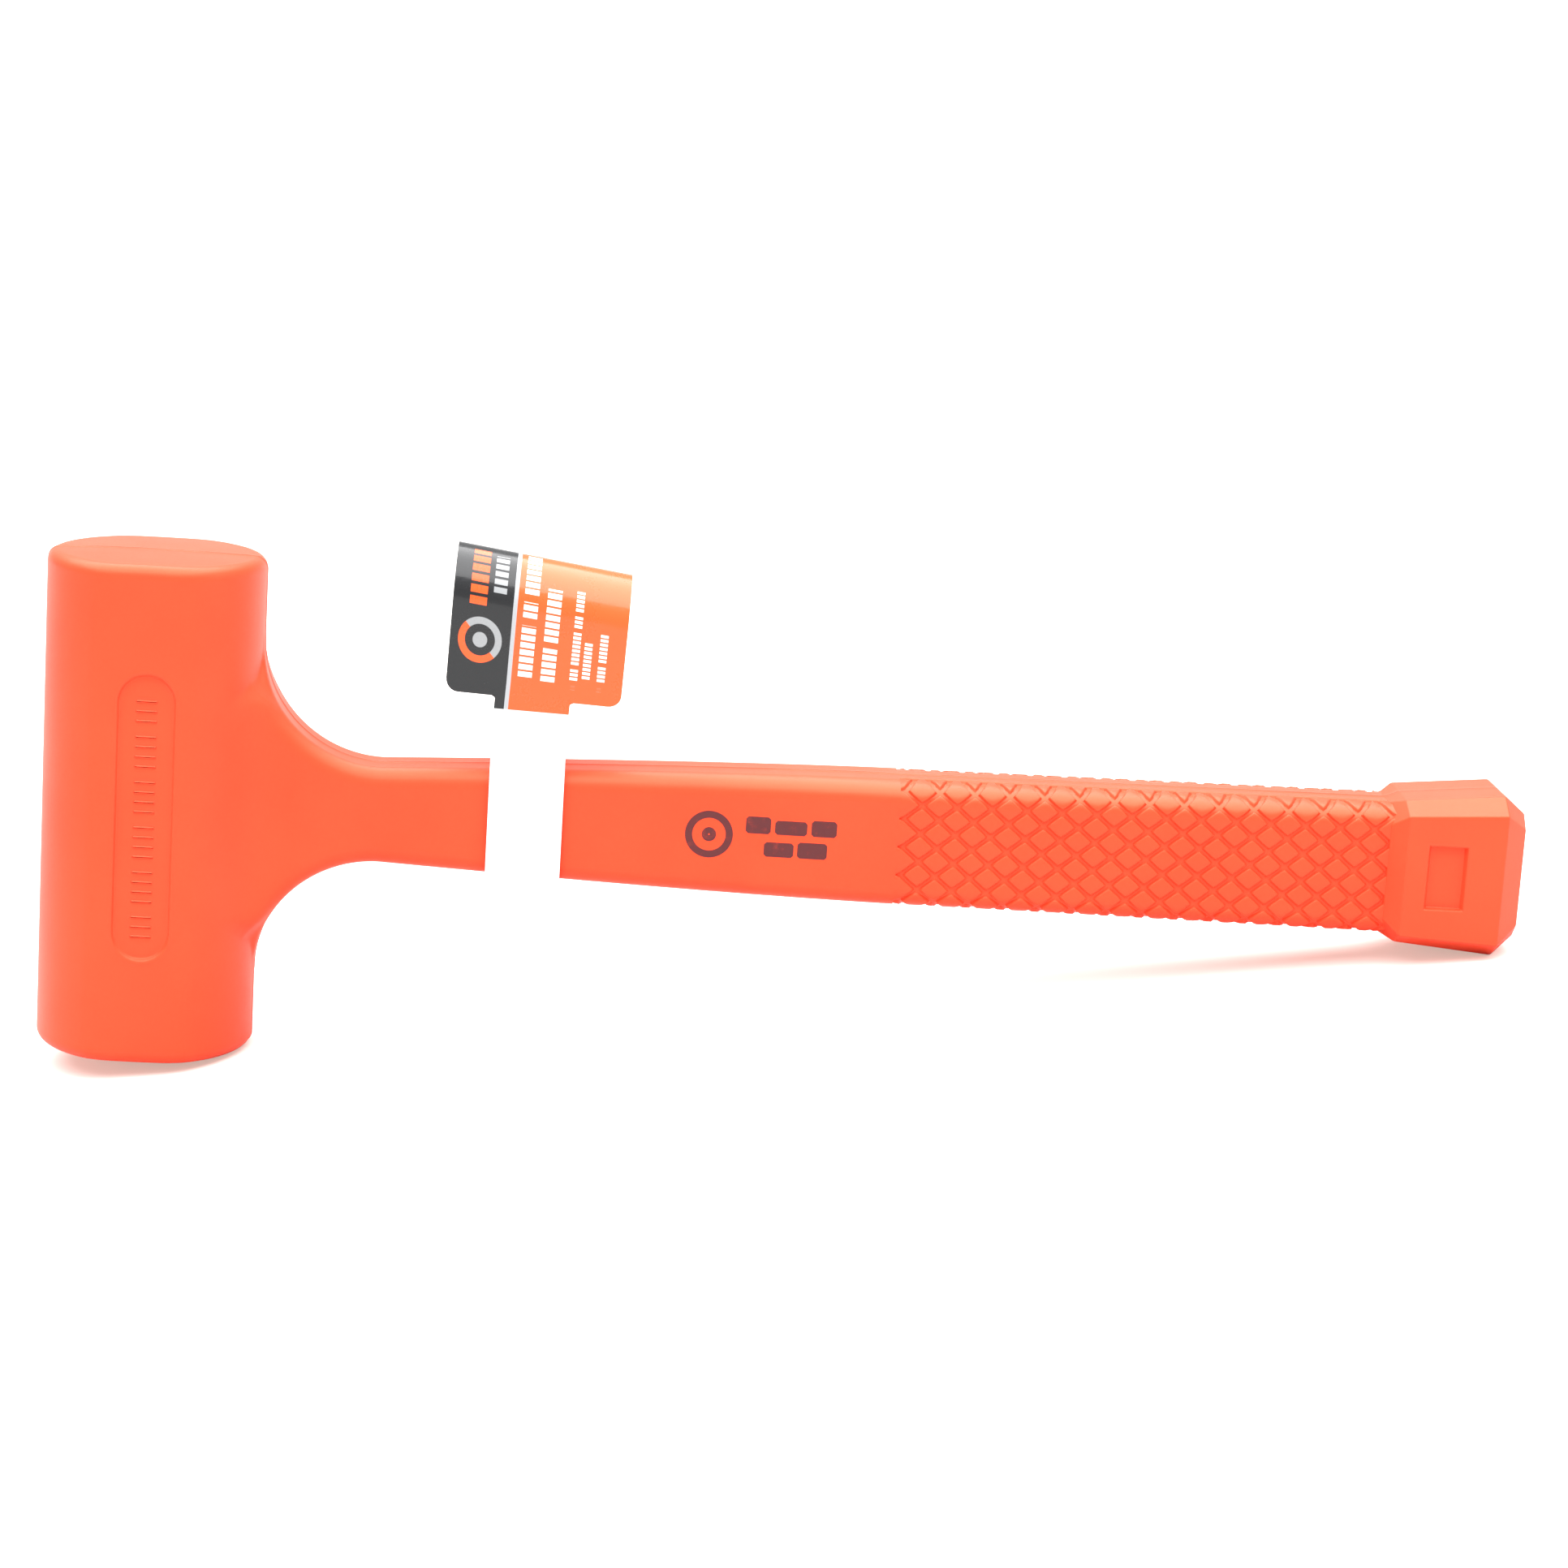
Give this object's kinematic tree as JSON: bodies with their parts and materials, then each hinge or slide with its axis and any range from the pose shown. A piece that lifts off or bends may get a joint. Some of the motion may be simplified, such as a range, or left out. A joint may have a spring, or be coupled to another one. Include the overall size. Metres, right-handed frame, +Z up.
{
  "type": "dead blow mallet",
  "caption": "Dead blow mallet: round flat-sided head, waisted neck, diamond-pattern grip and faceted pommel cast in orange urethane over a shot-filled steel canister, with a hang tag.",
  "frame": {"origin": "centre of the lower striking face", "axes": "+Z up the head to the upper striking face, +X along the handle to its butt; XZ is the mould's parting plane"},
  "size_m": [0.3107, 0.0416, 0.1075],
  "materials": {
    "urethane": "satin cast urethane",
    "canister_steel": "drawn, dull",
    "rod_steel": "black bar, lightly oxidised",
    "weld_metal": "as welded",
    "shot_steel": "cast shot",
    "tag_sheet": "printed and laminated",
    "tape": "double-sided tape"
  },
  "bodies": {
    "mallet": {"jacket": "urethane", "canister_tube": "canister_steel", "canister_cap_upper": "canister_steel", "canister_cap_lower": "canister_steel", "cap_weld_upper": "weld_metal", "cap_weld_lower": "weld_metal", "handle_rod": "rod_steel", "rod_weld": "weld_metal"},
    "shot": {"steel_shot": "shot_steel"},
    "tag": {"hang_tag": "tag_sheet", "hang_tag_tape": "tape"}
  },
  "joints": [
    {"name": "shot_slide", "type": "slide", "parent": "mallet", "child": "shot", "axis": [0, 0, 1], "range_m": [0, 0.0255]},
    {"name": "tag_slide", "type": "slide", "parent": "mallet", "child": "tag", "axis": [1, 0, 0], "range_m": [-0.026, 0.015]}
  ]
}
